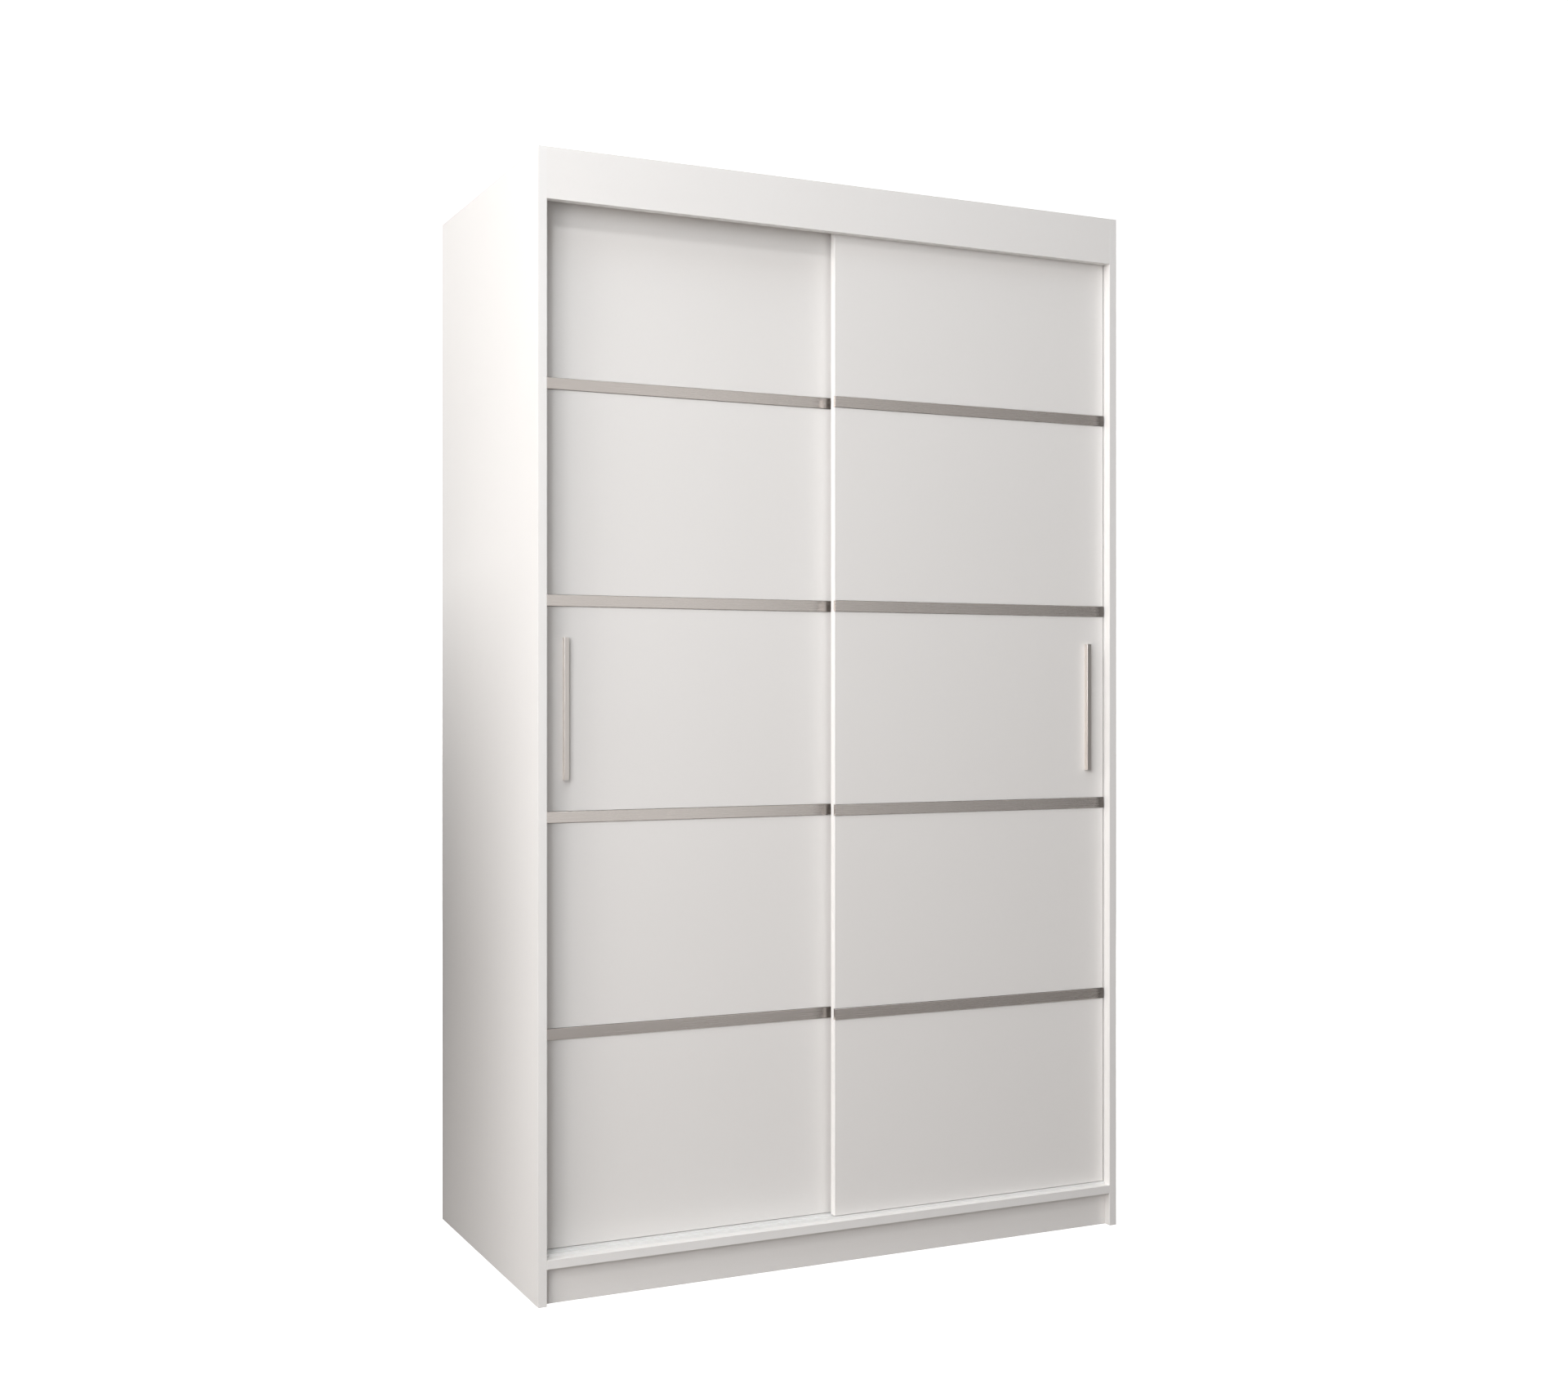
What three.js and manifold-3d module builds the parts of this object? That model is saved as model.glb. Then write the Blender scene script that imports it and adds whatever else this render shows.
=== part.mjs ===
// A white wardrobe with two sliding doors, 1200 mm wide, 620 mm deep and 2000 mm high.
//
// Millimetres. The origin is the middle of the footprint, on the floor. +X points to the right for
// someone facing the doors, +Y to the back and +Z up. The right door runs in the front lane of the
// tracks and the left door in the rear lane, so either one slides past the other along X.

import * as THREE from "three";
import { mergeVertices } from "three/addons/utils/BufferGeometryUtils.js";
import Module from "manifold-3d";

const wasm = await Module();
wasm.setup();

// ---- Driving dimensions ----

const width = 1200;
const depth = 620;
const height = 2000;
const board = 16; // thickness of every laminated board
const fit = 0.3; // running or assembly gap between two pieces

const plinthHeight = 64;
const plinthSetback = 16;
const rearPlinthInset = 10; // from the back sheets to the rear plinth
const fasciaHeight = 90;

const backSheet = 3;
const joinerWall = 1; // wall of the H-shaped strip between the back sheets
const joinerHalfWidth = 9;
const joinerHalfWeb = 0.8;

const shelfCount = 4;
const shelfPlay = 1; // from a loose shelf's end to the board beside it
const shelfSetback = 82; // from the wardrobe's front to a shelf's front edge

const railRadius = 12.5;
const railWall = 1.5;
const railDrop = 60; // from the hat shelf down to the rail's centre
const railY = 34;
const bracketFlange = { radius: 20, thickness: 3 };
const bracketCollar = { radius: 15.6, length: 12 };

const doorWidth = 600;
const doorBottom = 85;
const doorTop = 1970;
const doorRecess = 20; // from the wardrobe's front to the front door's face
const doorSideGap = 2; // from a closed door to the side panel
const lanePitch = 28; // from the front door's face to the rear door's face
const trim = { count: 4, height: 20, thickness: 6, grooveDepth: 4, edgeRadius: 0.8 };
const lowestTrimZ = 460;
const trimPitch = 380;

const handle = { width: 9.2, depth: 10.5, length: 250, centreZ: 1030, edgeRadius: 0.8 };
const handleInset = { left_door: 47.1, right_door: 39.7 }; // from the door's outer edge to its handle
const handleScrew = { pitch: 192, radius: 2, headRadius: 4.2, headThickness: 2.2, reach: 8 };
const counterbore = { radius: 4.6, depth: 2.8 };

const housing = { width: 34, depth: 8, bottom: 88, height: 44, slotWidth: 29, slotDepth: 5.8 };
const wheel = { radius: 12.5, rollingRadius: 11, thickness: 5, grooveWidth: 2.6, inset: 50 };
const axle = { radius: 1.8, length: 7.6 };
const axleBore = axle.radius + fit;

const trackWall = 1.5;
const rib = { width: 2, height: 3 }; // what a wheel runs on
const trackRearMargin = 12; // from the rear lane's centre to the bottom track's rear edge
const trackLip = { height: 3.2, thickness: 1.5, clearance: 0.5 }; // just ahead of each door
const channel = { width: 12, finHeight: 7.5 }; // what a door's top guide runs in
const guide = { width: 30, plate: 3, drop: 45, flange: 3.5, tongueWidth: 11, tongueHeight: 6.5 };
const bumper = { thickness: 1.7, width: 10, height: 30, cornerRadius: 3 };

const roundSegments = 32;
const boreSegments = 16;
const cornerSegments = 4;

// ---- Planes that several pieces share ----

const frontY = -depth / 2;
const backY = depth / 2;
const sheetBackY = backY - joinerWall;
const sheetFrontY = sheetBackY - backSheet;
const partitionBackY = sheetFrontY - joinerWall;
const innerX = width / 2 - board;
const floorTop = plinthHeight + board; // top of the bottom panel
const ceiling = height - board; // underside of the top panel
const interiorFrontY = frontY + shelfSetback;
const shelfPitch = (ceiling - floorTop + board) / (shelfCount + 1);
const hatShelfZ = floorTop + shelfCount * shelfPitch - board;
const railZ = hatShelfZ - railDrop;

const frontDoorY = frontY + doorRecess;
const rearDoorY = frontDoorY + lanePitch;
const ribTop = floorTop + trackWall + rib.height;
const axleZ = ribTop + wheel.rollingRadius + fit;

const doors = [
  { name: "right_door", frontFace: frontDoorY, left: innerX - doorSideGap - doorWidth, side: 1 },
  { name: "left_door", frontFace: rearDoorY, left: doorSideGap - innerX, side: -1 },
];

// ---- Materials ----

function material(colour, roughness, metalness) {
  return new THREE.MeshStandardMaterial({ color: colour, roughness, metalness });
}

const whiteLaminate = material(0xf1f0ed, 0.5, 0);
const whiteBack = material(0xe9e7e2, 0.7, 0);
const satinTrim = material(0xa9a8a6, 0.35, 1);
const brushedSteel = material(0xb9b9b8, 0.3, 1);
const aluminium = material(0xc6c8ca, 0.35, 1);
const chrome = material(0xd8dadc, 0.12, 1);
const greyPlastic = material(0x8d8f92, 0.5, 0);
const whitePlastic = material(0xeeeeea, 0.45, 0);

// ---- Shape helpers ----

// Local X, Y, Z become world Y, Z, X: a section drawn as (y, z) is extruded along X.
const sectionToX = new THREE.Matrix4().makeBasis(
  new THREE.Vector3(0, 1, 0),
  new THREE.Vector3(0, 0, 1),
  new THREE.Vector3(1, 0, 0),
);

// Local X, Y, Z become world Z, X, Y: a turned piece, whose own axis is Y, lies along X.
const lathedToX = new THREE.Matrix4().makeBasis(
  new THREE.Vector3(0, 0, 1),
  new THREE.Vector3(1, 0, 0),
  new THREE.Vector3(0, 1, 0),
);

// A half turn about Z.
const halfTurn = new THREE.Matrix4().makeBasis(
  new THREE.Vector3(-1, 0, 0),
  new THREE.Vector3(0, -1, 0),
  new THREE.Vector3(0, 0, 1),
);

// A box given by its spans along X, Y and Z.
function block([x0, x1], [y0, y1], [z0, z1]) {
  const geometry = new THREE.BoxGeometry(x1 - x0, y1 - y0, z1 - z0);
  return geometry.translate((x0 + x1) / 2, (y0 + y1) / 2, (z0 + z1) / 2);
}

function outline(points) {
  return new THREE.Shape(points.map(([a, b]) => new THREE.Vector2(a, b)));
}

// A rectangle with all four corners rounded, from its lowest and highest corner.
function roundedOutline([a0, b0], [a1, b1], radius) {
  const shape = new THREE.Shape();
  shape.absarc(a1 - radius, b0 + radius, radius, -Math.PI / 2, 0);
  shape.absarc(a1 - radius, b1 - radius, radius, 0, Math.PI / 2);
  shape.absarc(a0 + radius, b1 - radius, radius, Math.PI / 2, Math.PI);
  shape.absarc(a0 + radius, b0 + radius, radius, Math.PI, Math.PI * 1.5);
  return shape;
}

function extrude(shape, length) {
  return new THREE.ExtrudeGeometry(shape, {
    depth: length,
    bevelEnabled: false,
    curveSegments: cornerSegments,
  });
}

// A (y, z) section run along X from x0 to x1.
function barAlongX(section, [x0, x1]) {
  return extrude(section, x1 - x0).applyMatrix4(sectionToX).translate(x0, 0, 0);
}

// Points are (radius, distance along the axis), outer side rising; the axis is Y.
function turned(points, segments) {
  const profile = points.map(([radius, along]) => new THREE.Vector2(radius, along));
  return new THREE.LatheGeometry(profile, segments);
}

// A round pin along Y, as a cutter or a plain pin.
function pinAlongY(x, z, radius, [y0, y1], segments) {
  const pin = turned([[0, y0], [radius, y0], [radius, y1], [0, y1]], segments);
  return pin.translate(x, 0, z);
}

function toSolid(geometry) {
  const bare = geometry.clone();
  bare.deleteAttribute("normal");
  bare.deleteAttribute("uv");
  const merged = mergeVertices(bare);
  const triVerts = new Uint32Array(merged.index.array);
  const vertProperties = new Float32Array(merged.attributes.position.array);
  return new wasm.Manifold(new wasm.Mesh({ numProp: 3, vertProperties, triVerts }));
}

// The geometry with every cutter taken out of it.
function cutAway(geometry, cutters) {
  const left = cutters.reduce((solid, cutter) => solid.subtract(toSolid(cutter)), toSolid(geometry));
  const { vertProperties, triVerts } = left.getMesh();
  const result = new THREE.BufferGeometry();
  result.setAttribute("position", new THREE.BufferAttribute(vertProperties, 3));
  result.setIndex(new THREE.BufferAttribute(triVerts, 1));
  result.computeVertexNormals();
  return result;
}

function piece(name, geometry, finish) {
  const mesh = new THREE.Mesh(geometry, finish);
  mesh.name = name;
  return mesh;
}

// ---- Carcass ----

function carcass() {
  const group = new THREE.Group();
  const inner = [-innerX, innerX];
  const middle = [-board / 2, board / 2];
  const plinthY = frontY + board + plinthSetback;
  const rearPlinthY = sheetFrontY - rearPlinthInset;
  const whole = [0, height];
  const boardDepth = [frontY, sheetFrontY];
  const boards = [
    ["left_side_panel", [-width / 2, -innerX], boardDepth, whole],
    ["right_side_panel", [innerX, width / 2], boardDepth, whole],
    ["top_panel", inner, [frontY + board, sheetFrontY], [ceiling, height]],
    ["fascia", inner, [frontY, frontY + board], [height - fasciaHeight, height]],
    ["bottom_panel", inner, boardDepth, [plinthHeight, floorTop]],
    ["front_plinth", inner, [plinthY - board, plinthY], [0, plinthHeight]],
    ["rear_plinth", inner, [rearPlinthY - board, rearPlinthY], [0, plinthHeight]],
    ["plinth_brace", middle, [plinthY, rearPlinthY - board], [0, plinthHeight]],
    ["centre_partition", middle, [interiorFrontY, partitionBackY], [floorTop, ceiling]],
  ];
  for (const [name, x, y, z] of boards) {
    group.add(piece(name, block(x, y, z), whiteLaminate));
  }
  return group;
}

// Two thin sheets held together by an H-shaped strip on the partition's rear edge.
function back() {
  const group = new THREE.Group();
  const sheetEdge = width / 2 - 2;
  const seam = joinerHalfWeb + fit;
  const sheetY = [sheetFrontY, sheetBackY];
  const sheetZ = [plinthHeight, height - 2];
  const leftSheet = block([-sheetEdge, -seam], sheetY, sheetZ);
  const rightSheet = block([seam, sheetEdge], sheetY, sheetZ);
  const w = joinerHalfWidth;
  const h = joinerHalfWeb;
  const section = outline([
    [-w, partitionBackY], [w, partitionBackY], [w, sheetFrontY], [h, sheetFrontY],
    [h, sheetBackY], [w, sheetBackY], [w, backY], [-w, backY],
    [-w, sheetBackY], [-h, sheetBackY], [-h, sheetFrontY], [-w, sheetFrontY],
  ]);
  const strip = extrude(section, ceiling - floorTop).translate(0, 0, floorTop);
  group.add(piece("left_back_sheet", leftSheet, whiteBack));
  group.add(piece("right_back_sheet", rightSheet, whiteBack));
  group.add(piece("back_joining_strip", strip, whitePlastic));
  return group;
}

// ---- Interior ----

function shelves() {
  const group = new THREE.Group();
  const shelfY = [interiorFrontY, partitionBackY];
  const near = board / 2 + shelfPlay;
  const far = innerX - shelfPlay;
  for (let n = 1; n <= shelfCount; n += 1) {
    const top = floorTop + n * shelfPitch;
    const shelf = block([-far, -near], shelfY, [top - board, top]);
    group.add(piece(`shelf_${n}`, shelf, whiteLaminate));
  }
  const hatShelf = block([near, far], shelfY, [hatShelfZ, hatShelfZ + board]);
  group.add(piece("hat_shelf", hatShelf, whiteLaminate));
  return group;
}

function railBracket() {
  const collarInside = railRadius + fit;
  const { radius, thickness } = bracketFlange;
  const end = thickness + bracketCollar.length;
  const profile = [
    [0, 0], [radius, 0], [radius, thickness], [bracketCollar.radius, thickness],
    [bracketCollar.radius, end], [collarInside, end], [collarInside, thickness], [0, thickness],
  ];
  return turned(profile, roundSegments).applyMatrix4(lathedToX);
}

function hangingRail() {
  const group = new THREE.Group();
  const leftWall = board / 2;
  const start = leftWall + bracketFlange.thickness + fit;
  const end = innerX - bracketFlange.thickness - fit;
  const bore = railRadius - railWall;
  const profile = [[bore, start], [railRadius, start], [railRadius, end], [bore, end], [bore, start]];
  const tube = turned(profile, roundSegments).applyMatrix4(lathedToX);
  const rightBracket = railBracket().applyMatrix4(halfTurn);
  group.add(piece("hanging_rail", tube.translate(0, railY, railZ), chrome));
  group.add(piece("rail_bracket_left", railBracket().translate(leftWall, railY, railZ), greyPlastic));
  group.add(piece("rail_bracket_right", rightBracket.translate(innerX, railY, railZ), greyPlastic));
  return group;
}

// ---- Tracks ----

// The middle of the lane that a door's wheels run in.
function laneY(door) {
  return door.frontFace + board + housing.depth / 2;
}

// A flat base with a low lip ahead of each door and along its rear edge, and one rib for each
// door's wheels.
function bottomTrack() {
  const base = floorTop + trackWall;
  const lipTop = base + trackLip.height;
  const frontEdge = frontDoorY - trackLip.clearance - trackLip.thickness;
  const rearEdge = laneY(doors[1]) + trackRearMargin;
  const ridges = doors.flatMap((door) => {
    const lip = door.frontFace - trackLip.clearance;
    const lane = laneY(door);
    return [
      [lip - trackLip.thickness, lip, lipTop],
      [lane - rib.width / 2, lane + rib.width / 2, ribTop],
    ];
  });
  ridges.push([rearEdge - trackLip.thickness, rearEdge, lipTop]);
  const top = ridges.reverse().flatMap(([front, rear, crest]) => [
    [rear, base], [rear, crest], [front, crest], [front, base],
  ]);
  // The first and last points lie on the track's straight outer walls, so they are left out.
  const section = outline([[frontEdge, floorTop], [rearEdge, floorTop], ...top.slice(1, -1)]);
  return piece("bottom_track", barAlongX(section, [-innerX, innerX]), aluminium);
}

// A flat base with a pair of fins hanging down on both sides of each door's guides.
function topTrack() {
  const base = ceiling - trackWall;
  const finEnd = base - channel.finHeight;
  const half = channel.width / 2;
  const points = [];
  for (const door of doors) {
    const middle = door.frontFace + board / 2;
    for (const inner of [middle - half - trackWall, middle + half]) {
      points.push([inner, base], [inner, finEnd], [inner + trackWall, finEnd], [inner + trackWall, base]);
    }
  }
  const [first] = points.shift();
  const [last] = points.pop();
  points.push([last, ceiling], [first, ceiling]);
  return piece("top_track", barAlongX(outline(points), [-innerX, innerX]), aluminium);
}

// A pad on a side panel's inner face, which a door's edge meets at the end of its travel.
function endStop(door, direction) {
  const middle = door.frontFace + board / 2;
  const section = roundedOutline(
    [middle - bumper.width / 2, handle.centreZ - bumper.height / 2],
    [middle + bumper.width / 2, handle.centreZ + bumper.height / 2],
    bumper.cornerRadius,
  );
  const inner = innerX - bumper.thickness;
  return barAlongX(section, direction > 0 ? [inner, innerX] : [-innerX, -inner]);
}

function tracks() {
  const group = new THREE.Group();
  group.add(bottomTrack(), topTrack());
  for (const door of doors) {
    group.add(piece(`${door.name}_stop_left`, endStop(door, -1), whitePlastic));
    group.add(piece(`${door.name}_stop_right`, endStop(door, 1), whitePlastic));
  }
  return group;
}

// ---- Doors ----

function trimCentre(n) {
  return lowestTrimZ + (n - 1) * trimPitch;
}

function handleX(door) {
  return door.side * (innerX - doorSideGap - handleInset[door.name]);
}

function handleScrewHeights() {
  return [handle.centreZ - handleScrew.pitch / 2, handle.centreZ + handleScrew.pitch / 2];
}

// A board with a cross groove for each trim and a counterbored hole for each handle screw.
function doorBoard(door) {
  const face = door.frontFace;
  const rear = face + board;
  const floor = face + trim.grooveDepth;
  const halfGroove = trim.height / 2 + fit;
  const points = [[face, doorBottom], [rear, doorBottom], [rear, doorTop], [face, doorTop]];
  for (let n = trim.count; n >= 1; n -= 1) {
    const high = trimCentre(n) + halfGroove;
    const low = trimCentre(n) - halfGroove;
    points.push([face, high], [floor, high], [floor, low], [face, low]);
  }
  const blank = barAlongX(outline(points), [door.left, door.left + doorWidth]);
  const bore = handleScrew.radius + 2 * fit;
  const cutters = handleScrewHeights().flatMap((z) => [
    pinAlongY(handleX(door), z, bore, [face - 1, rear + 1], boreSegments),
    pinAlongY(handleX(door), z, counterbore.radius, [rear - counterbore.depth, rear + 1], boreSegments),
  ]);
  return cutAway(blank, cutters);
}

function doorTrim(door, n) {
  const back = door.frontFace + trim.grooveDepth;
  const low = trimCentre(n) - trim.height / 2;
  const section = roundedOutline([back - trim.thickness, low], [back, low + trim.height], trim.edgeRadius);
  return barAlongX(section, [door.left, door.left + doorWidth]);
}

// A solid bar that lies on the door's face, with a blind hole for each screw.
function handleBar(door) {
  const x = handleX(door);
  const face = door.frontFace;
  const low = [x - handle.width / 2, face - handle.depth];
  const high = [x + handle.width / 2, face];
  const section = roundedOutline(low, high, handle.edgeRadius);
  const bottom = handle.centreZ - handle.length / 2;
  const bar = extrude(section, handle.length).translate(0, 0, bottom);
  const hole = [face - handleScrew.reach, face + 1];
  const cutters = handleScrewHeights().map((z) =>
    pinAlongY(x, z, handleScrew.radius + fit, hole, boreSegments),
  );
  return cutAway(bar, cutters);
}

function screw(door, z) {
  const tip = door.frontFace - handleScrew.reach + 2 * fit;
  const neck = door.frontFace + board - counterbore.depth + fit;
  const end = neck + handleScrew.headThickness;
  const profile = [
    [0, tip], [handleScrew.radius, tip], [handleScrew.radius, neck],
    [handleScrew.headRadius, neck], [handleScrew.headRadius, end], [0, end],
  ];
  return turned(profile, boreSegments).translate(handleX(door), 0, z);
}

// A cassette on the door's rear face, open underneath for its wheel.
function rollerHousing(door, x) {
  const lane = laneY(door);
  const half = housing.width / 2;
  const rear = door.frontFace + board;
  const outside = [rear, rear + housing.depth];
  const blank = block([x - half, x + half], outside, [housing.bottom, housing.bottom + housing.height]);
  const slotTop = axleZ + wheel.radius + 5 * fit;
  const slot = block(
    [x - housing.slotWidth / 2, x + housing.slotWidth / 2],
    [lane - housing.slotDepth / 2, lane + housing.slotDepth / 2],
    [housing.bottom - 1, slotTop],
  );
  const bore = pinAlongY(x, axleZ, axleBore, [rear - 1, rear + housing.depth + 1], boreSegments);
  return cutAway(blank, [slot, bore]);
}

// A wheel with a groove round its rim, which straddles the track's rib.
function rollerWheel(door, x) {
  const half = wheel.thickness / 2;
  const groove = wheel.grooveWidth / 2;
  const profile = [
    [axleBore, -half], [wheel.radius, -half], [wheel.radius, -groove],
    [wheel.rollingRadius, -groove], [wheel.rollingRadius, groove],
    [wheel.radius, groove], [wheel.radius, half], [axleBore, half], [axleBore, -half],
  ];
  return turned(profile, roundSegments).translate(x, laneY(door), axleZ);
}

function axlePin(door, x) {
  const lane = laneY(door);
  const half = axle.length / 2;
  return pinAlongY(x, axleZ, axle.radius, [lane - half, lane + half], boreSegments);
}

// A plate on the door's rear face, a flange over its top edge and a tongue in the top track.
function topGuide(door, x) {
  const rear = door.frontFace + board;
  const middle = door.frontFace + board / 2;
  const flangeLow = doorTop + fit;
  const flangeHigh = flangeLow + guide.flange;
  const tip = flangeHigh + guide.tongueHeight;
  const front = middle - guide.tongueWidth / 2;
  const back = middle + guide.tongueWidth / 2;
  const section = outline([
    [rear, doorTop - guide.drop], [rear + guide.plate, doorTop - guide.drop],
    [rear + guide.plate, flangeHigh], [back, flangeHigh], [back, tip], [front, tip],
    [front, flangeLow], [rear, flangeLow],
  ]);
  return barAlongX(section, [x - guide.width / 2, x + guide.width / 2]);
}

function slidingDoor(door) {
  const group = new THREE.Group();
  const add = (suffix, geometry, finish) => {
    group.add(piece(`${door.name}_${suffix}`, geometry, finish));
  };
  add("board", doorBoard(door), whiteLaminate);
  for (let n = 1; n <= trim.count; n += 1) {
    add(`trim_${n}`, doorTrim(door, n), satinTrim);
  }
  add("handle", handleBar(door), brushedSteel);
  const [lowScrew, highScrew] = handleScrewHeights();
  add("handle_screw_lower", screw(door, lowScrew), brushedSteel);
  add("handle_screw_upper", screw(door, highScrew), brushedSteel);
  const ends = [
    ["left", door.left + wheel.inset],
    ["right", door.left + doorWidth - wheel.inset],
  ];
  for (const [end, x] of ends) {
    add(`roller_housing_${end}`, rollerHousing(door, x), greyPlastic);
    add(`wheel_${end}`, rollerWheel(door, x), whitePlastic);
    add(`axle_${end}`, axlePin(door, x), brushedSteel);
    add(`top_guide_${end}`, topGuide(door, x), greyPlastic);
  }
  return group;
}

// ---- The whole wardrobe ----

const wardrobe = new THREE.Group();
wardrobe.name = "wardrobe";
wardrobe.add(carcass(), back(), shelves(), hangingRail(), tracks());
for (const door of doors) {
  wardrobe.add(slidingDoor(door));
}

export default wardrobe;
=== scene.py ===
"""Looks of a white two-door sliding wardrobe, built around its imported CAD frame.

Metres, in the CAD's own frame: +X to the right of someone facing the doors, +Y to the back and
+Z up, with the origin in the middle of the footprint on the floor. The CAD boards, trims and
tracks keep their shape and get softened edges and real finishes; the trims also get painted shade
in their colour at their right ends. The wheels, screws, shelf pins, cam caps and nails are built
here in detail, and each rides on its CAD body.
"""

import math

import bmesh
import bpy
from mathutils import Matrix, Vector


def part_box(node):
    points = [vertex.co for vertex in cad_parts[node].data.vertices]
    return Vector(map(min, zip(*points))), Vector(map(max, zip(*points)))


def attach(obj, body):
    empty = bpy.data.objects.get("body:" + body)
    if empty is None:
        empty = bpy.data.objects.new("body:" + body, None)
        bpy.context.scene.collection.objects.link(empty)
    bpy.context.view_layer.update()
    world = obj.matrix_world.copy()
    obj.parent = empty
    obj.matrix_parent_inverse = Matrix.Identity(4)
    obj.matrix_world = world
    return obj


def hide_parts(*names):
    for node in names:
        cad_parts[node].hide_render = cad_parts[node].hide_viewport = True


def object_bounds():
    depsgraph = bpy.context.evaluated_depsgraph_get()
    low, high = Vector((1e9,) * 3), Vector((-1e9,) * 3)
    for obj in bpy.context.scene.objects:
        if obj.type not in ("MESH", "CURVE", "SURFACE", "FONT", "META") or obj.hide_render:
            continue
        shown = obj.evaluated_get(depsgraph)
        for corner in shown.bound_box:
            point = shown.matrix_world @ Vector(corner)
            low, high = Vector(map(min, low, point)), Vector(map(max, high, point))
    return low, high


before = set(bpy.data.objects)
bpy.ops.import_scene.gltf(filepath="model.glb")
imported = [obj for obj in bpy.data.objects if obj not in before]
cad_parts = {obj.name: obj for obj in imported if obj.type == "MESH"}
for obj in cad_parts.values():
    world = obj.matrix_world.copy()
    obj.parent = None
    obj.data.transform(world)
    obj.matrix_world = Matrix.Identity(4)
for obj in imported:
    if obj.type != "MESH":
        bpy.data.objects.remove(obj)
cad_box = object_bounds()

MM = 0.001
UP = Vector((0, 0, 1))
RIGHT = Vector((1, 0, 0))
BACK = Vector((0, 1, 0))
DOORS = ("left_door", "right_door")
ENDS = ("left", "right")
TRIMS = range(1, 5)
SHELVES = range(1, 5)


# ---- Materials ----


class Finish:
    """A material being built. add() makes a node; an input takes a value or another socket."""

    def __init__(self, name, roughness=0.5, metallic=0.0):
        self.material = bpy.data.materials.new(name)
        self.material.use_nodes = True
        self.tree = self.material.node_tree
        self.surface = self.tree.nodes["Principled BSDF"]
        self.surface.inputs["Roughness"].default_value = roughness
        self.surface.inputs["Metallic"].default_value = metallic
        self.place = self.add("ShaderNodeTexCoord").outputs["Object"]

    def plug(self, socket, value):
        if isinstance(value, bpy.types.NodeSocket):
            self.tree.links.new(value, socket)
        else:
            socket.default_value = value

    def add(self, kind, inputs=None, **settings):
        node = self.tree.nodes.new(kind)
        for name, value in settings.items():
            setattr(node, name, value)
        for name, value in (inputs or {}).items():
            self.plug(node.inputs[name], value)
        return node

    def stretched(self, scale):
        """The object's own coordinates, scaled by a different amount along each axis."""
        return self.add("ShaderNodeMapping", {"Vector": self.place, "Scale": scale}).outputs[0]

    def noise(self, scale, detail=2.0, rough=0.5, place=None):
        place = place or self.place
        inputs = {"Vector": place, "Scale": scale, "Detail": detail, "Roughness": rough}
        return self.add("ShaderNodeTexNoise", inputs).outputs[0]

    def between(self, value, low, high, start=0.3, end=0.7):
        """value, from start to end, turned into a number from low to high."""
        inputs = {"Value": value, "From Min": start, "From Max": end, "To Min": low, "To Max": high}
        return self.add("ShaderNodeMapRange", inputs).outputs[0]

    def blend(self, share, first, second):
        node = self.add("ShaderNodeMix", data_type="RGBA")
        self.plug(node.inputs["Factor"], share)
        self.plug(node.inputs[6], (*first, 1.0) if isinstance(first, tuple) else first)
        self.plug(node.inputs[7], (*second, 1.0) if isinstance(second, tuple) else second)
        return node.outputs[2]

    def bump(self, height, depth, strength=1.0, below=None):
        inputs = {"Height": height, "Distance": depth, "Strength": strength}
        if below is not None:
            inputs["Normal"] = below
        return self.add("ShaderNodeBump", inputs).outputs[0]

    def set(self, **sockets):
        for name, value in sockets.items():
            self.plug(self.surface.inputs[name.replace("_", " ")], value)
        return self


def white_laminate():
    """Satin melamine foil on chipboard: a fine pearl emboss over the board's faint waviness."""
    finish = Finish("white_laminate")
    cloud = finish.noise(1.7, detail=3)
    fleck = finish.noise(260, detail=3)
    whites = finish.blend(finish.between(cloud, 0, 1), (0.802, 0.784, 0.765), (0.814, 0.797, 0.779))
    colour = finish.blend(finish.between(fleck, 0, 0.35, 0.55, 0.75), whites, (0.787, 0.768, 0.748))
    wave = finish.bump(finish.noise(9, detail=1), 0.25 * MM, 0.35)
    pearl = finish.bump(finish.noise(1500, detail=1), 0.03 * MM, 0.30, wave)
    gloss = finish.between(finish.noise(600, detail=2), 0.36, 0.46)
    finish.set(Base_Color=colour, Roughness=gloss, Normal=pearl)
    return finish.material


def edge_band():
    """The thin plastic banding on a board's edges, a little smoother than its faces."""
    finish = Finish("white_edge_band")
    cloud = finish.noise(14, detail=2)
    colour = finish.blend(finish.between(cloud, 0, 1), (0.806, 0.792, 0.776), (0.820, 0.808, 0.793))
    grain = finish.noise(1, detail=2, place=finish.stretched((240, 240, 60)))
    finish.set(Base_Color=colour, Roughness=finish.between(cloud, 0.30, 0.38))
    finish.set(Normal=finish.bump(grain, 0.02 * MM, 0.3))
    return finish.material


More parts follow.
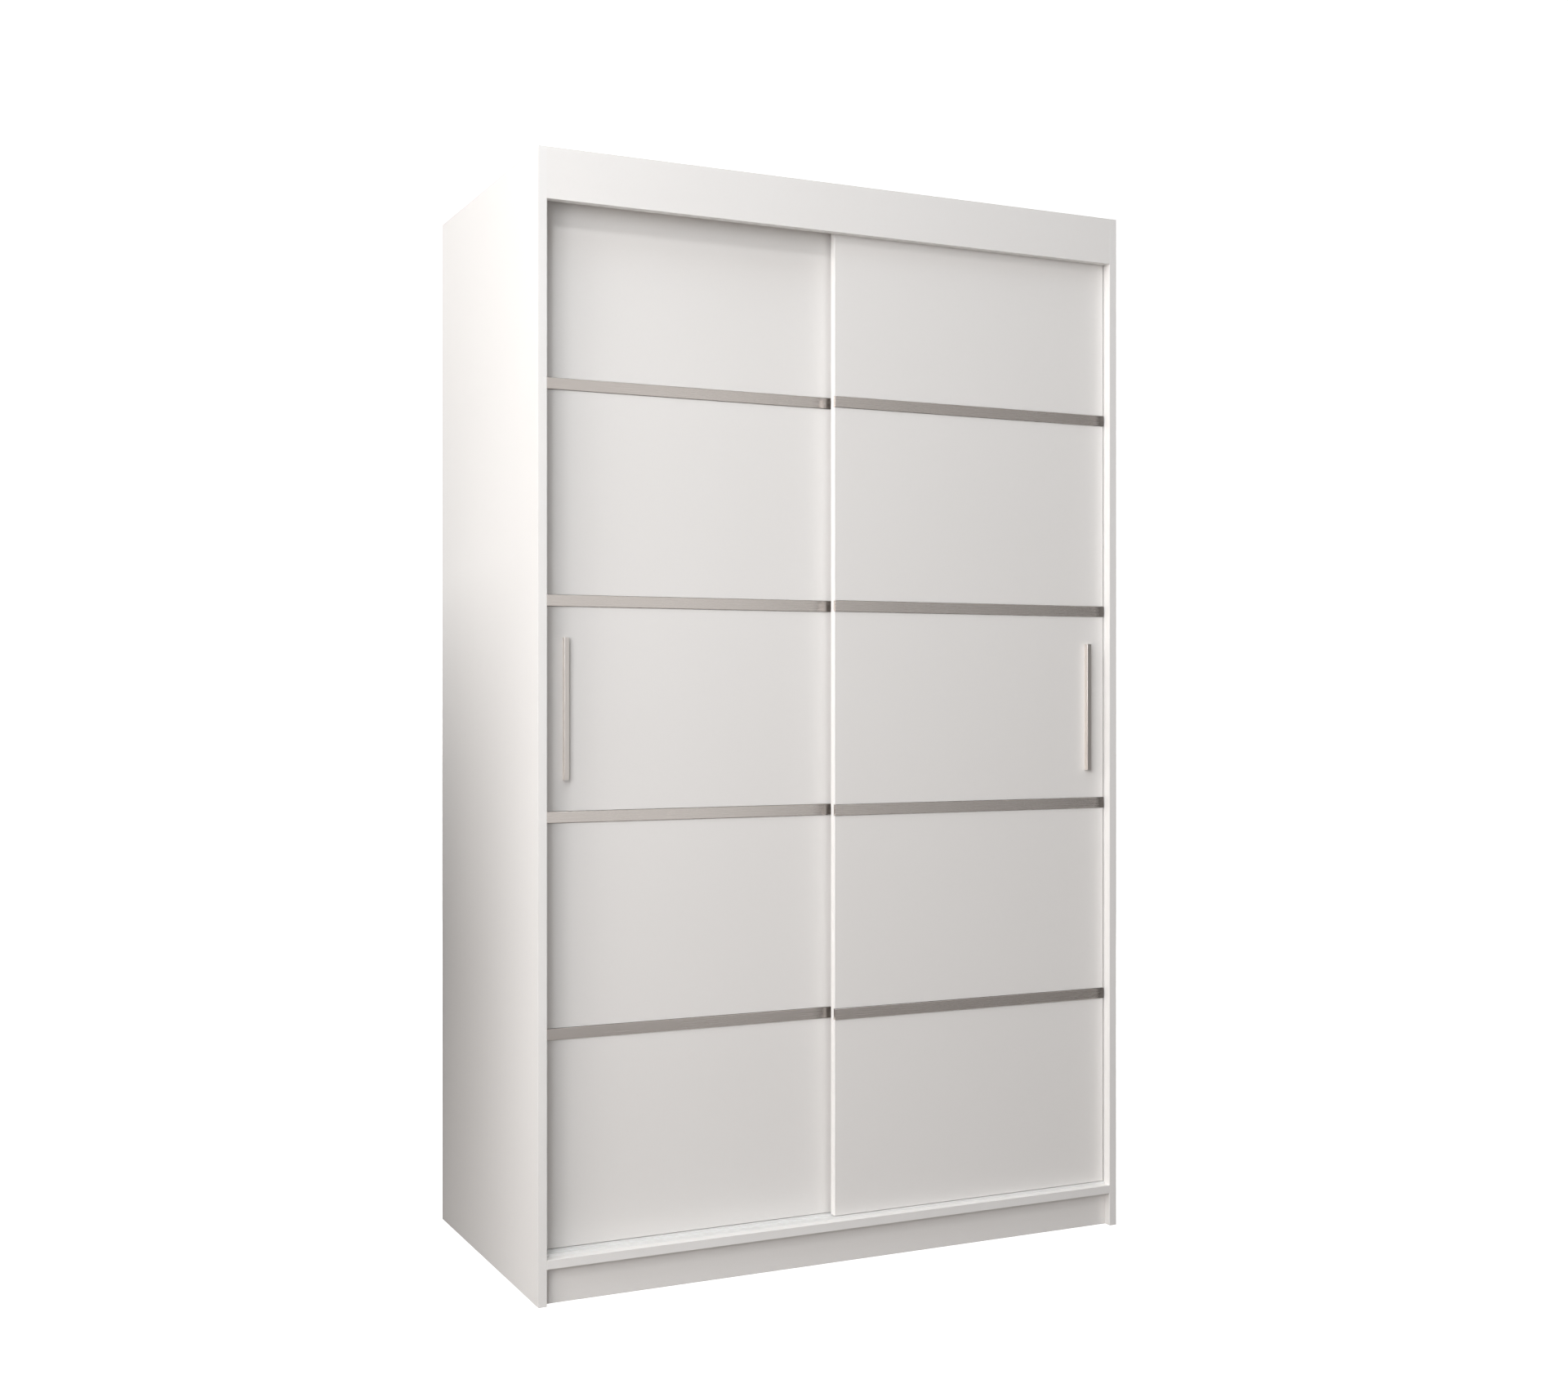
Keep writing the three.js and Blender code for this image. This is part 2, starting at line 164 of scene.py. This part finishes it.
def back_sheet():
    """Thin fibreboard: white lacquer inside, raw brown fibre on its rear face."""
    finish = Finish("back_sheet")
    fibre = finish.noise(420, detail=6, rough=0.7)
    cloud = finish.noise(5, detail=4)
    brown = finish.blend(fibre, (0.235, 0.135, 0.070), (0.345, 0.215, 0.120))
    raw = finish.blend(finish.between(cloud, 0, 0.45), brown, (0.300, 0.185, 0.105))
    lacquer = finish.blend(cloud, (0.735, 0.730, 0.715), (0.760, 0.755, 0.742))
    along_y = finish.add("ShaderNodeSeparateXYZ", {"Vector": finish.place}).outputs["Y"]
    rear_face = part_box("left_back_sheet")[1].y
    lacquer_end, fibre_start = rear_face - 1.0 * MM, rear_face - 0.8 * MM
    rear = finish.between(along_y, 0, 1, lacquer_end, fibre_start)
    finish.set(Base_Color=finish.blend(rear, lacquer, raw))
    finish.set(Roughness=finish.between(rear, 0.45, 0.78, 0, 1))
    finish.set(Normal=finish.bump(fibre, 0.06 * MM, 0.5))
    return finish.material


# The painted shade on the trims looks for boards 30 degrees off straight ahead, to the right.
PAINTED_SHADE_LOOKS_TOWARDS = {"X": 0.5, "Y": -0.866, "Z": 0.0}
FULLY_SHADED_BELOW = 0.57


def painted_shade_from_right(finish, reach, open_above):
    """How much painted shade a spot gets, from 0 to 1: how much stands close by on the right.

    Only what stands within reach counts. A spot whose view that way is open by more than
    open_above gets no painted shade. Faces that look left are left out of the painted shade.
    """
    towards = finish.add("ShaderNodeCombineXYZ", PAINTED_SHADE_LOOKS_TOWARDS).outputs[0]
    inputs = {"Distance": reach, "Normal": towards}
    openness = finish.add("ShaderNodeAmbientOcclusion", inputs, samples=16).outputs["AO"]
    hidden = finish.between(openness, 1, 0, FULLY_SHADED_BELOW, open_above)
    normal = finish.add("ShaderNodeNewGeometry").outputs["True Normal"]
    across = finish.add("ShaderNodeSeparateXYZ", {"Vector": normal}).outputs["X"]
    not_left = finish.between(across, 0, 1, -0.5, -0.2)
    return finish.add("ShaderNodeMath", {0: hidden, 1: not_left}, operation="MULTIPLY").outputs[0]


def drawn_metal(name, colour, roughness, lines, spread=0.015, metallic=1.0, painted_end_shade=None):
    """Metal brushed or drawn along one axis; lines is the pattern's scale along X, Y and Z.

    A matt anodised surface scatters some light, so its metallic share is below 1. painted_end_shade
    paints shade into the metal's colour close to a board on its right, darkening it towards the
    colour times its tone, by the amount the painted shade helper above gives.
    """
    finish = Finish(name, metallic=metallic)
    fine = finish.noise(1, detail=3, rough=0.6, place=finish.stretched(lines))
    cloud = finish.noise(6, detail=3)
    metal = finish.blend(fine, tuple(0.97 * c for c in colour), colour)
    # Painted shade: the metal's colour darkens towards the colour times tone near a board on its
    # right.
    if painted_end_shade:
        shade = painted_shade_from_right(finish, painted_end_shade["reach"], painted_end_shade["open_above"])
        metal = finish.blend(shade, metal, tuple(painted_end_shade["tone"] * c for c in colour))
    streaks = finish.between(fine, roughness - spread, roughness + spread)
    smudge = finish.between(cloud, 0, spread)
    total = finish.add("ShaderNodeMath", {0: streaks, 1: smudge}).outputs[0]
    finish.set(Base_Color=metal, Roughness=total)
    finish.set(Normal=finish.bump(fine, 0.0002 * MM, 0.2))
    return finish.material


def plated_metal(name, colour, roughness):
    """Chrome or zinc plate: bright, with faint cloudy wear in its gloss."""
    finish = Finish(name, metallic=1.0)
    cloud = finish.noise(45, detail=4)
    fine = finish.noise(900, detail=2)
    finish.set(Base_Color=finish.blend(cloud, tuple(0.94 * c for c in colour), colour))
    finish.set(Roughness=finish.between(cloud, roughness * 0.8, roughness * 1.5))
    finish.set(Normal=finish.bump(fine, 0.004 * MM, 0.3))
    return finish.material


def moulded_plastic(name, colour, roughness):
    """Injection-moulded plastic with a fine spark-eroded grain."""
    finish = Finish(name)
    cloud = finish.noise(30, detail=3)
    grain = finish.noise(2200, detail=2)
    finish.set(Base_Color=finish.blend(cloud, tuple(0.94 * c for c in colour), colour))
    finish.set(Roughness=finish.between(grain, roughness - 0.06, roughness + 0.06))
    finish.set(Normal=finish.bump(grain, 0.02 * MM, 0.4))
    return finish.material


# Brush lines about 0.3 mm apart across the metal and drawn out along it.
ALONG_X = (8, 3500, 3500)
ALONG_Z = (3500, 3500, 8)
LAMINATE = white_laminate()
BAND = edge_band()
BACK_SHEET = back_sheet()
TRIM_COLOUR = (0.90, 0.835, 0.785)
# Painted shade darkens the trims' colour at their right ends, next to the board beside them.
# Beside the left door's trims stands the front door's edge, and beside the right's the side panel.
# reach and open_above set where the painted shade starts; tone is how dark it gets.
TRIM_PAINTED_END_SHADES = {
    "left_door": {"reach": 44 * MM, "open_above": 0.80, "tone": 0.40},
    "right_door": {"reach": 30 * MM, "open_above": 0.75, "tone": 0.17},
}
TRIM = {
    door: drawn_metal(f"satin_trim_{door}", TRIM_COLOUR, 0.26, ALONG_X, painted_end_shade=shade)
    for door, shade in TRIM_PAINTED_END_SHADES.items()
}
HANDLE = drawn_metal("satin_handle", (0.87, 0.815, 0.77), 0.28, ALONG_Z)
TRACK = drawn_metal("drawn_aluminium", (0.80, 0.80, 0.79), 0.36, ALONG_X, metallic=0.15)
CHROME = plated_metal("chrome_plate", (0.78, 0.79, 0.80), 0.07)
ZINC = plated_metal("zinc_plate", (0.62, 0.63, 0.645), 0.26)
GREY_PLASTIC = moulded_plastic("grey_plastic", (0.27, 0.275, 0.285), 0.46)
WHITE_PLASTIC = moulded_plastic("white_plastic", (0.78, 0.78, 0.76), 0.40)


# ---- CAD nodes that keep their shape ----


WELD_DISTANCE = 0.005 * MM
ROUNDED_FROM = math.radians(35)


def soften(node, width, segments=2):
    """Joins the node's split corners and rounds its hard edges, by modifiers only."""
    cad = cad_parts[node]
    weld = cad.modifiers.new("weld", "WELD")
    weld.merge_threshold = WELD_DISTANCE
    bevel = cad.modifiers.new("soft_edges", "BEVEL")
    bevel.width = width
    bevel.segments = segments
    bevel.limit_method = "ANGLE"
    bevel.angle_limit = ROUNDED_FROM
    return cad


def paint(node, material):
    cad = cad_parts[node]
    cad.data.materials.clear()
    cad.data.materials.append(material)
    return cad


def band_edges(cad):
    """Gives a board's narrow faces the edge band's finish."""
    low, high = (Vector(corner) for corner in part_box(cad.name))
    size = high - low
    thin = min(range(3), key=lambda axis: size[axis])
    cad.data.materials.append(BAND)
    for face in cad.data.polygons:
        if abs(face.normal[thin]) < 0.5:
            face.material_index = 1


BOARD_EDGE = 0.6 * MM
BOARDS = [
    "left_side_panel", "right_side_panel", "top_panel", "fascia", "bottom_panel", "front_plinth",
    "rear_plinth", "plinth_brace", "centre_partition", "hat_shelf",
    *(f"shelf_{n}" for n in SHELVES),
]


def finish_boards():
    for node in BOARDS:
        paint(node, LAMINATE)
        band_edges(soften(node, BOARD_EDGE))
    for node in ("left_back_sheet", "right_back_sheet"):
        paint(node, BACK_SHEET)
        soften(node, 0.2 * MM, 1)
    paint("back_joining_strip", WHITE_PLASTIC)
    soften("back_joining_strip", 0.2 * MM)


def finish_doors():
    for door in DOORS:
        paint(f"{door}_board", LAMINATE)
        band_edges(soften(f"{door}_board", BOARD_EDGE))
        for n in TRIMS:
            paint(f"{door}_trim_{n}", TRIM[door])
            soften(f"{door}_trim_{n}", 0.15 * MM, 1)
        paint(f"{door}_handle", HANDLE)
        soften(f"{door}_handle", 0.2 * MM)
        for end in ENDS:
            paint(f"{door}_axle_{end}", ZINC)
            soften(f"{door}_axle_{end}", 0.3 * MM)
            paint(f"{door}_roller_housing_{end}", GREY_PLASTIC)
            soften(f"{door}_roller_housing_{end}", 0.6 * MM, 3)
            paint(f"{door}_top_guide_{end}", GREY_PLASTIC)
            soften(f"{door}_top_guide_{end}", 0.5 * MM, 3)
            paint(f"{door}_stop_{end}", WHITE_PLASTIC)
            soften(f"{door}_stop_{end}", 0.5 * MM, 3)


def finish_tracks_and_rail():
    for node in ("bottom_track", "top_track"):
        paint(node, TRACK)
        soften(node, 0.3 * MM, 3)
    for node in ("rail_bracket_left", "rail_bracket_right"):
        paint(node, GREY_PLASTIC)
        soften(node, 0.5 * MM, 3)
    paint("hanging_rail", CHROME)
    soften("hanging_rail", 0.2 * MM)


finish_boards()
finish_doors()
finish_tracks_and_rail()


# ---- Small parts built here ----


def linked(name, data):
    """A new object in the scene that shows data."""
    piece = bpy.data.objects.new(name, data)
    bpy.context.scene.collection.objects.link(piece)
    return piece


def as_mesh(built, name):
    mesh = bpy.data.meshes.new(name)
    built.to_mesh(mesh)
    built.free()
    return mesh


def lathe(profile, segments, closed=False):
    """A mesh turned about Z from (radius, height) points in mm; closed joins last to first."""
    turned = bmesh.new()
    rings = []
    for radius, height in profile:
        if radius == 0:
            rings.append([turned.verts.new((0, 0, height * MM))] * segments)
            continue
        ring = []
        for k in range(segments):
            turn = 2 * math.pi * k / segments
            spot = (radius * MM * math.cos(turn), radius * MM * math.sin(turn), height * MM)
            ring.append(turned.verts.new(spot))
        rings.append(ring)
    pairs = list(zip(rings, rings[1:]))
    if closed:
        pairs.append((rings[-1], rings[0]))
    for low, high in pairs:
        for k in range(segments):
            j = (k + 1) % segments
            corners = dict.fromkeys((low[k], low[j], high[j], high[k]))
            turned.faces.new(tuple(corners))
    bmesh.ops.recalc_face_normals(turned, faces=turned.faces)
    return turned


def cross_recess(screw, top, half_length, half_width, depth):
    """Cuts a cross into the end of a turned screw whose flat top is at height top, all in mm."""
    body = as_mesh(screw, "screw")
    cutter = bmesh.new()
    for long_side, short_side in ((half_length, half_width), (half_width, half_length)):
        size = (2 * long_side * MM, 2 * short_side * MM, 2 * depth * MM)
        place = Matrix.Translation((0, 0, top * MM)) @ Matrix.Diagonal((*size, 1))
        bmesh.ops.create_cube(cutter, size=1, matrix=place)
    return cut(body, as_mesh(cutter, "blade"))


def cut(body, blade):
    """The mesh body with the closed mesh blade taken out of it."""
    pair = [linked(mesh.name, mesh) for mesh in (body, blade)]
    boolean = pair[0].modifiers.new("cut", "BOOLEAN")
    boolean.object = pair[1]
    boolean.operation = "DIFFERENCE"
    boolean.solver = "EXACT"
    boolean.use_self = True
    bpy.context.view_layer.update()
    graph = bpy.context.evaluated_depsgraph_get()
    result = bpy.data.meshes.new_from_object(pair[0].evaluated_get(graph))
    for piece in pair:
        bpy.data.objects.remove(piece)
    return result


SMOOTH_ANGLE = math.radians(32)


def gather(name, body, material, mesh, spots):
    """One piece made of a copy of mesh at each (place, direction of its Z) in spots."""
    whole = bmesh.new()
    for place, direction in spots:
        turn = Vector(direction).to_track_quat("Z", "Y").to_matrix().to_4x4()
        start = len(whole.verts)
        whole.from_mesh(mesh)
        whole.verts.ensure_lookup_table()
        matrix = Matrix.Translation(place) @ turn
        bmesh.ops.transform(whole, matrix=matrix, verts=whole.verts[start:])
    for face in whole.faces:
        face.smooth = True
        face.material_index = 0
    for edge in whole.edges:
        edge.smooth = edge.calc_face_angle(0) < SMOOTH_ANGLE
    built = bpy.data.meshes.new(name)
    whole.to_mesh(built)
    whole.free()
    built.materials.append(material)
    piece = linked(name, built)
    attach(piece, body)
    return piece


def pan_head(radius, height, shank_radius, shank_length):
    """A cross-recessed screw, its head's seat at height 0 and its shank below, all in mm."""
    tip = 0.8
    shank = [
        (0, -shank_length), (shank_radius * 0.6, -shank_length),
        (shank_radius, tip - shank_length), (shank_radius, 0),
    ]
    head = [
        (radius, 0), (radius, height * 0.35), (radius * 0.93, height * 0.68),
        (radius * 0.78, height * 0.9), (radius * 0.6, height), (0, height),
    ]
    screw = lathe(shank + head, 32)
    return cross_recess(screw, height, radius * 0.52, radius * 0.13, height * 0.6)


def middle_of(node):
    low, high = (Vector(corner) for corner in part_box(node))
    return (low + high) / 2


def door_screws(door):
    """The screws that hold a door's roller housings and top guides to its back."""
    screw = pan_head(3.0, 1.5, 1.4, 4)
    half_pitch = 9 * MM
    guide_plate = 3 * MM
    board_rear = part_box(f"{door}_board")[1].y
    drops = {"roller_housing": 9 * MM, "top_guide": 32 * MM}
    spots = []
    for end in ENDS:
        for node, drop in drops.items():
            low, high = (Vector(corner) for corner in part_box(f"{door}_{node}_{end}"))
            rear = high.y if node == "roller_housing" else board_rear + guide_plate
            for side in (-1, 1):
                x = (low.x + high.x) / 2 + side * half_pitch
                spots.append((Vector((x, rear, high.z - drop)), BACK))
    gather(f"{door}_fitting_screws", door, ZINC, screw, spots)


def handle_bolts(door):
    """The two machine screws through the door into its handle."""
    nodes = [f"{door}_handle_screw_{level}" for level in ("lower", "upper")]
    low, high = (Vector(corner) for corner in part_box(nodes[0]))
    head_radius = (high.x - low.x) / 2 / MM
    head_height = 2.2
    shank_length = (high.y - low.y) / MM - head_height
    bolt = pan_head(head_radius, head_height, 2.0, shank_length)
    spots = []
    for node in nodes:
        centre = middle_of(node)
        spots.append((Vector((centre.x, high.y - head_height * MM, centre.z)), BACK))
    piece = gather(f"{door}_handle_bolts", door, ZINC, bolt, spots)
    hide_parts(*nodes)


def door_rollers(door):
    """Nylon wheels with a groove for the rail, a recessed web and a raised hub."""
    hub = [(2.1, 2.5), (4.6, 2.5), (5.0, 2.2), (5.0, 1.6)]
    web = [(9.4, 1.6), (9.9, 1.9), (10.1, 2.5)]
    flange = [(12.0, 2.5), (12.4, 2.3), (12.5, 2.0), (12.5, 1.6), (12.2, 1.35)]
    groove = [(11.2, 1.3), (11.0, 1.1)]
    half = hub + web + flange + groove
    mirrored = [(radius, -height) for radius, height in reversed(half)]
    for end in ENDS:
        node = f"{door}_wheel_{end}"
        roller = as_mesh(lathe(half + mirrored, 64, closed=True), "roller")
        spots = [(middle_of(node), BACK)]
        piece = gather(f"{door}_roller_{end}", node, WHITE_PLASTIC, roller, spots)
        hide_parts(node)


def shelf_pins():
    """Four plated pins under each loose shelf: a collar against the board and a peg."""
    collar = [(0, 0), (3.6, 0), (3.6, 0.9), (3.2, 1.3), (2.5, 1.4)]
    peg = [(2.5, 7.2), (2.1, 7.8), (0, 8.0)]
    pin = as_mesh(lathe(collar + peg, 24), "pin")
    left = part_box("left_side_panel")[1].x
    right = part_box("centre_partition")[0].x
    pin_radius = 2.5 * MM
    inset = 50 * MM
    spots = []
    for n in SHELVES:
        low, high = (Vector(corner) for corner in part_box(f"shelf_{n}"))
        z = low.z - pin_radius
        for y in (low.y + inset, high.y - inset):
            spots.append((Vector((left, y, z)), RIGHT))
            spots.append((Vector((right, y, z)), -RIGHT))
    gather("shelf_pins", "carcass", ZINC, pin, spots)


def cam_caps():
    """White caps over the cam fittings that join the boards, on the faces inside."""
    profile = [(0, 0), (8.0, 0), (8.0, 0.25), (7.4, 0.7), (5.5, 0.95), (0, 1.05)]
    cap = as_mesh(lathe(profile, 40), "cap")
    inset = 34 * MM
    inset_y = 60 * MM
    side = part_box("right_side_panel")[0].x
    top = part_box("top_panel")[0]
    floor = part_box("bottom_panel")[1]
    hat_low, hat_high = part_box("hat_shelf")
    partition_low, partition_high = (Vector(corner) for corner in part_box("centre_partition"))
    spots = []
    for y in (partition_low.y + inset_y, partition_high.y - inset_y):
        for x in (inset - side, side - inset):
            spots.append((Vector((x, y, top.z)), -UP))
        for x in (hat_low.x + inset, hat_high.x - inset):
            spots.append((Vector((x, y, hat_low.z)), -UP))
        for z in (floor.z + inset, top.z - inset):
            spots.append((Vector((partition_high.x, y, z)), RIGHT))
    gather("cam_caps", "carcass", WHITE_PLASTIC, cap, spots)


def back_nails():
    """Flat-headed nails round the edges of the two back sheets, and along the hat shelf."""
    profile = [(0, -12), (0.7, -11), (0.7, 0), (3.0, 0), (3.0, 0.3), (2.4, 0.6), (0, 0.7)]
    nail = as_mesh(lathe(profile, 20), "nail")
    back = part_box("left_back_sheet")[1].y
    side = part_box("right_side_panel")
    x_edge = (side[0].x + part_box("right_back_sheet")[1].x) / 2
    z_low = (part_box("left_back_sheet")[0].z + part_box("bottom_panel")[1].z) / 2
    z_high = (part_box("left_back_sheet")[1].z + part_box("top_panel")[0].z) / 2
    shelf = middle_of("hat_shelf")
    rows = 14
    columns = 8
    strip_clearance = 20 * MM
    places = []
    for k in range(rows + 1):
        z = z_low + (z_high - z_low) * k / rows
        places += [(-x_edge, z), (x_edge, z)]
    for k in range(1, columns):
        x = -x_edge + 2 * x_edge * k / columns
        if abs(x) > strip_clearance:
            places += [(x, z_low), (x, z_high)]
    for k in (1, 2, 3):
        places.append((x_edge * k / 4, shelf.z))
    spots = [(Vector((x, back, z)), BACK) for x, z in places]
    gather("back_nails", "carcass", ZINC, nail, spots)


for door_name in DOORS:
    door_screws(door_name)
    handle_bolts(door_name)
    door_rollers(door_name)
shelf_pins()
cam_caps()
back_nails()


# ---- Camera, floor and light ----

CAMERA_PLACE = Vector((-1.6210, -3.4408, 1.0560))
CAMERA_TURN = math.radians(-25.435)
CAMERA_LENS_MM = 43.64
SENSOR_MM = 36.0


def make_camera():
    camera = linked("camera", bpy.data.cameras.new("camera"))
    camera.data.lens = CAMERA_LENS_MM
    camera.data.sensor_width = SENSOR_MM
    camera.location = CAMERA_PLACE
    camera.rotation_euler = (math.radians(90), 0, CAMERA_TURN)
    bpy.context.scene.camera = camera


def card(name, corners, material):
    """A flat piece with four corners."""
    mesh = bpy.data.meshes.new(name)
    mesh.from_pydata(corners, [], [(0, 1, 2, 3)])
    mesh.materials.append(material)
    return linked(name, mesh)


def glowing_white(name, glow):
    """White that stays white whatever light falls on it: glow of its own plus a little shading."""
    finish = Finish(name, roughness=0.8)
    cloud = finish.noise(1.2, detail=4)
    colour = finish.blend(cloud, (0.8, 0.8, 0.8), (0.816, 0.816, 0.816))
    finish.set(Base_Color=colour, Specular_IOR_Level=0.0)
    finish.set(Emission_Color=(1.0, 1.0, 1.0, 1.0), Emission_Strength=glow)
    return finish.material


def only_seen(piece):
    """The piece shows to the camera, but lights, shades and reflects in nothing."""
    piece.visible_diffuse = False
    piece.visible_glossy = False
    piece.visible_transmission = False
    piece.visible_shadow = False


def make_floor_and_backdrop():
    reach = 30.0
    clear_of_panels = 0.5 * MM
    corners = [(-reach, -reach, 0), (reach, -reach, 0), (reach, reach, 0), (-reach, reach, 0)]
    floor = card("floor", corners, glowing_white("pale_floor", 0.93))
    floor.location.z = -clear_of_panels
    only_seen(floor)
    dome = bmesh.new()
    bmesh.ops.create_uvsphere(dome, u_segments=24, v_segments=12, radius=reach)
    mesh = as_mesh(dome, "backdrop")
    mesh.materials.append(glowing_white("pale_backdrop", 1.1))
    only_seen(linked("backdrop", mesh))


def softbox(name, place, target, size, power, tall=1.0, colour=(1.0, 1.0, 1.0)):
    """An area lamp at place, facing target; tall is its height over its width."""
    lamp = linked(name, bpy.data.lights.new(name, "AREA"))
    lamp.data.shape = "RECTANGLE"
    lamp.data.size = size
    lamp.data.size_y = size * tall
    lamp.data.energy = power
    lamp.data.color = colour
    lamp.location = place
    direction = Vector(target) - Vector(place)
    lamp.rotation_euler = direction.to_track_quat("-Z", "Y").to_euler()


def make_flag():
    """A card off to the left that shades the low rear part of the left side."""
    left = -1.3
    corners = [(left, -0.26, 1.42), (left, 0.9, 1.32), (left, 0.9, -0.2), (left, -0.06, -0.2)]
    flag = card("flag", corners, moulded_plastic("flag_grey", (0.05, 0.05, 0.05), 0.9))
    flag.visible_camera = False
    flag.visible_glossy = False


def make_world():
    """Soft light from all round, strongest from the ceiling and off the pale floor."""
    walls, ceiling_and_floor = (0.040, 0.040, 0.040, 1.0), (0.460, 0.430, 0.410, 1.0)
    world = bpy.data.worlds.new("studio")
    bpy.context.scene.world = world
    world.use_nodes = True
    nodes, links = world.node_tree.nodes, world.node_tree.links
    direction = nodes.new("ShaderNodeSeparateXYZ")
    links.new(nodes.new("ShaderNodeTexCoord").outputs["Generated"], direction.inputs[0])
    steepness = nodes.new("ShaderNodeMath")
    steepness.operation = "ABSOLUTE"
    links.new(direction.outputs["Z"], steepness.inputs[0])
    colour = nodes.new("ShaderNodeMix")
    colour.data_type = "RGBA"
    links.new(steepness.outputs[0], colour.inputs["Factor"])
    colour.inputs[6].default_value = walls
    colour.inputs[7].default_value = ceiling_and_floor
    links.new(colour.outputs[2], nodes["Background"].inputs["Color"])


# Each lamp across the front: azimuth in degrees, rise over distance, height over width, power.
FRONT_CARDS = [(-8, -0.07, 1.0, 5.0), (12, 0.07, 1.8, 10.6), (30, 0.07, 1.8, 4.5)]


def make_lights():
    front = Vector((0, cad_box[0].y, 1.0))
    distance = 4.6
    key_travel = Vector((0.469, 0.609, -0.639))
    softbox("key", front - distance * key_travel, front, 0.4, 30)
    softbox("left_high", (-3.6, -0.8, 2.8), (-0.6, 0.0, 1.2), 2.2, 100)
    softbox("left_low", (-3.4, -2.2, 0.6), (-0.6, -0.3, 0.8), 2.0, 26, colour=(1.0, 0.90, 0.83))
    softbox("left_front", (-3.2, -3.6, 2.2), (-0.3, -0.3, 1.1), 2.4, 95, colour=(0.955, 0.975, 1.0))
    softbox("top", (-0.5, -1.2, 4.6), (0.0, -0.2, 1.2), 2.0, 32, colour=(0.83, 0.925, 1.0))
    # Lamps across the front, for the metal to reflect.
    for azimuth, rise, tall, power in FRONT_CARDS:
        turn = math.radians(azimuth)
        place = front + distance * Vector((math.sin(turn), -math.cos(turn), rise))
        softbox(f"front_card_{azimuth}", place, front, 1.8, power, tall)
    # Fill for the sides that face away from the camera.
    softbox("right_fill", (3.8, 0.8, 2.2), (0.6, 0.0, 1.0), 2.4, 90)
    softbox("rear_fill", (1.4, 4.4, 2.4), (0.2, 0.3, 1.0), 2.6, 110)


bpy.context.scene.view_settings.view_transform = "Standard"
make_camera()
make_floor_and_backdrop()
make_world()
make_lights()
make_flag()
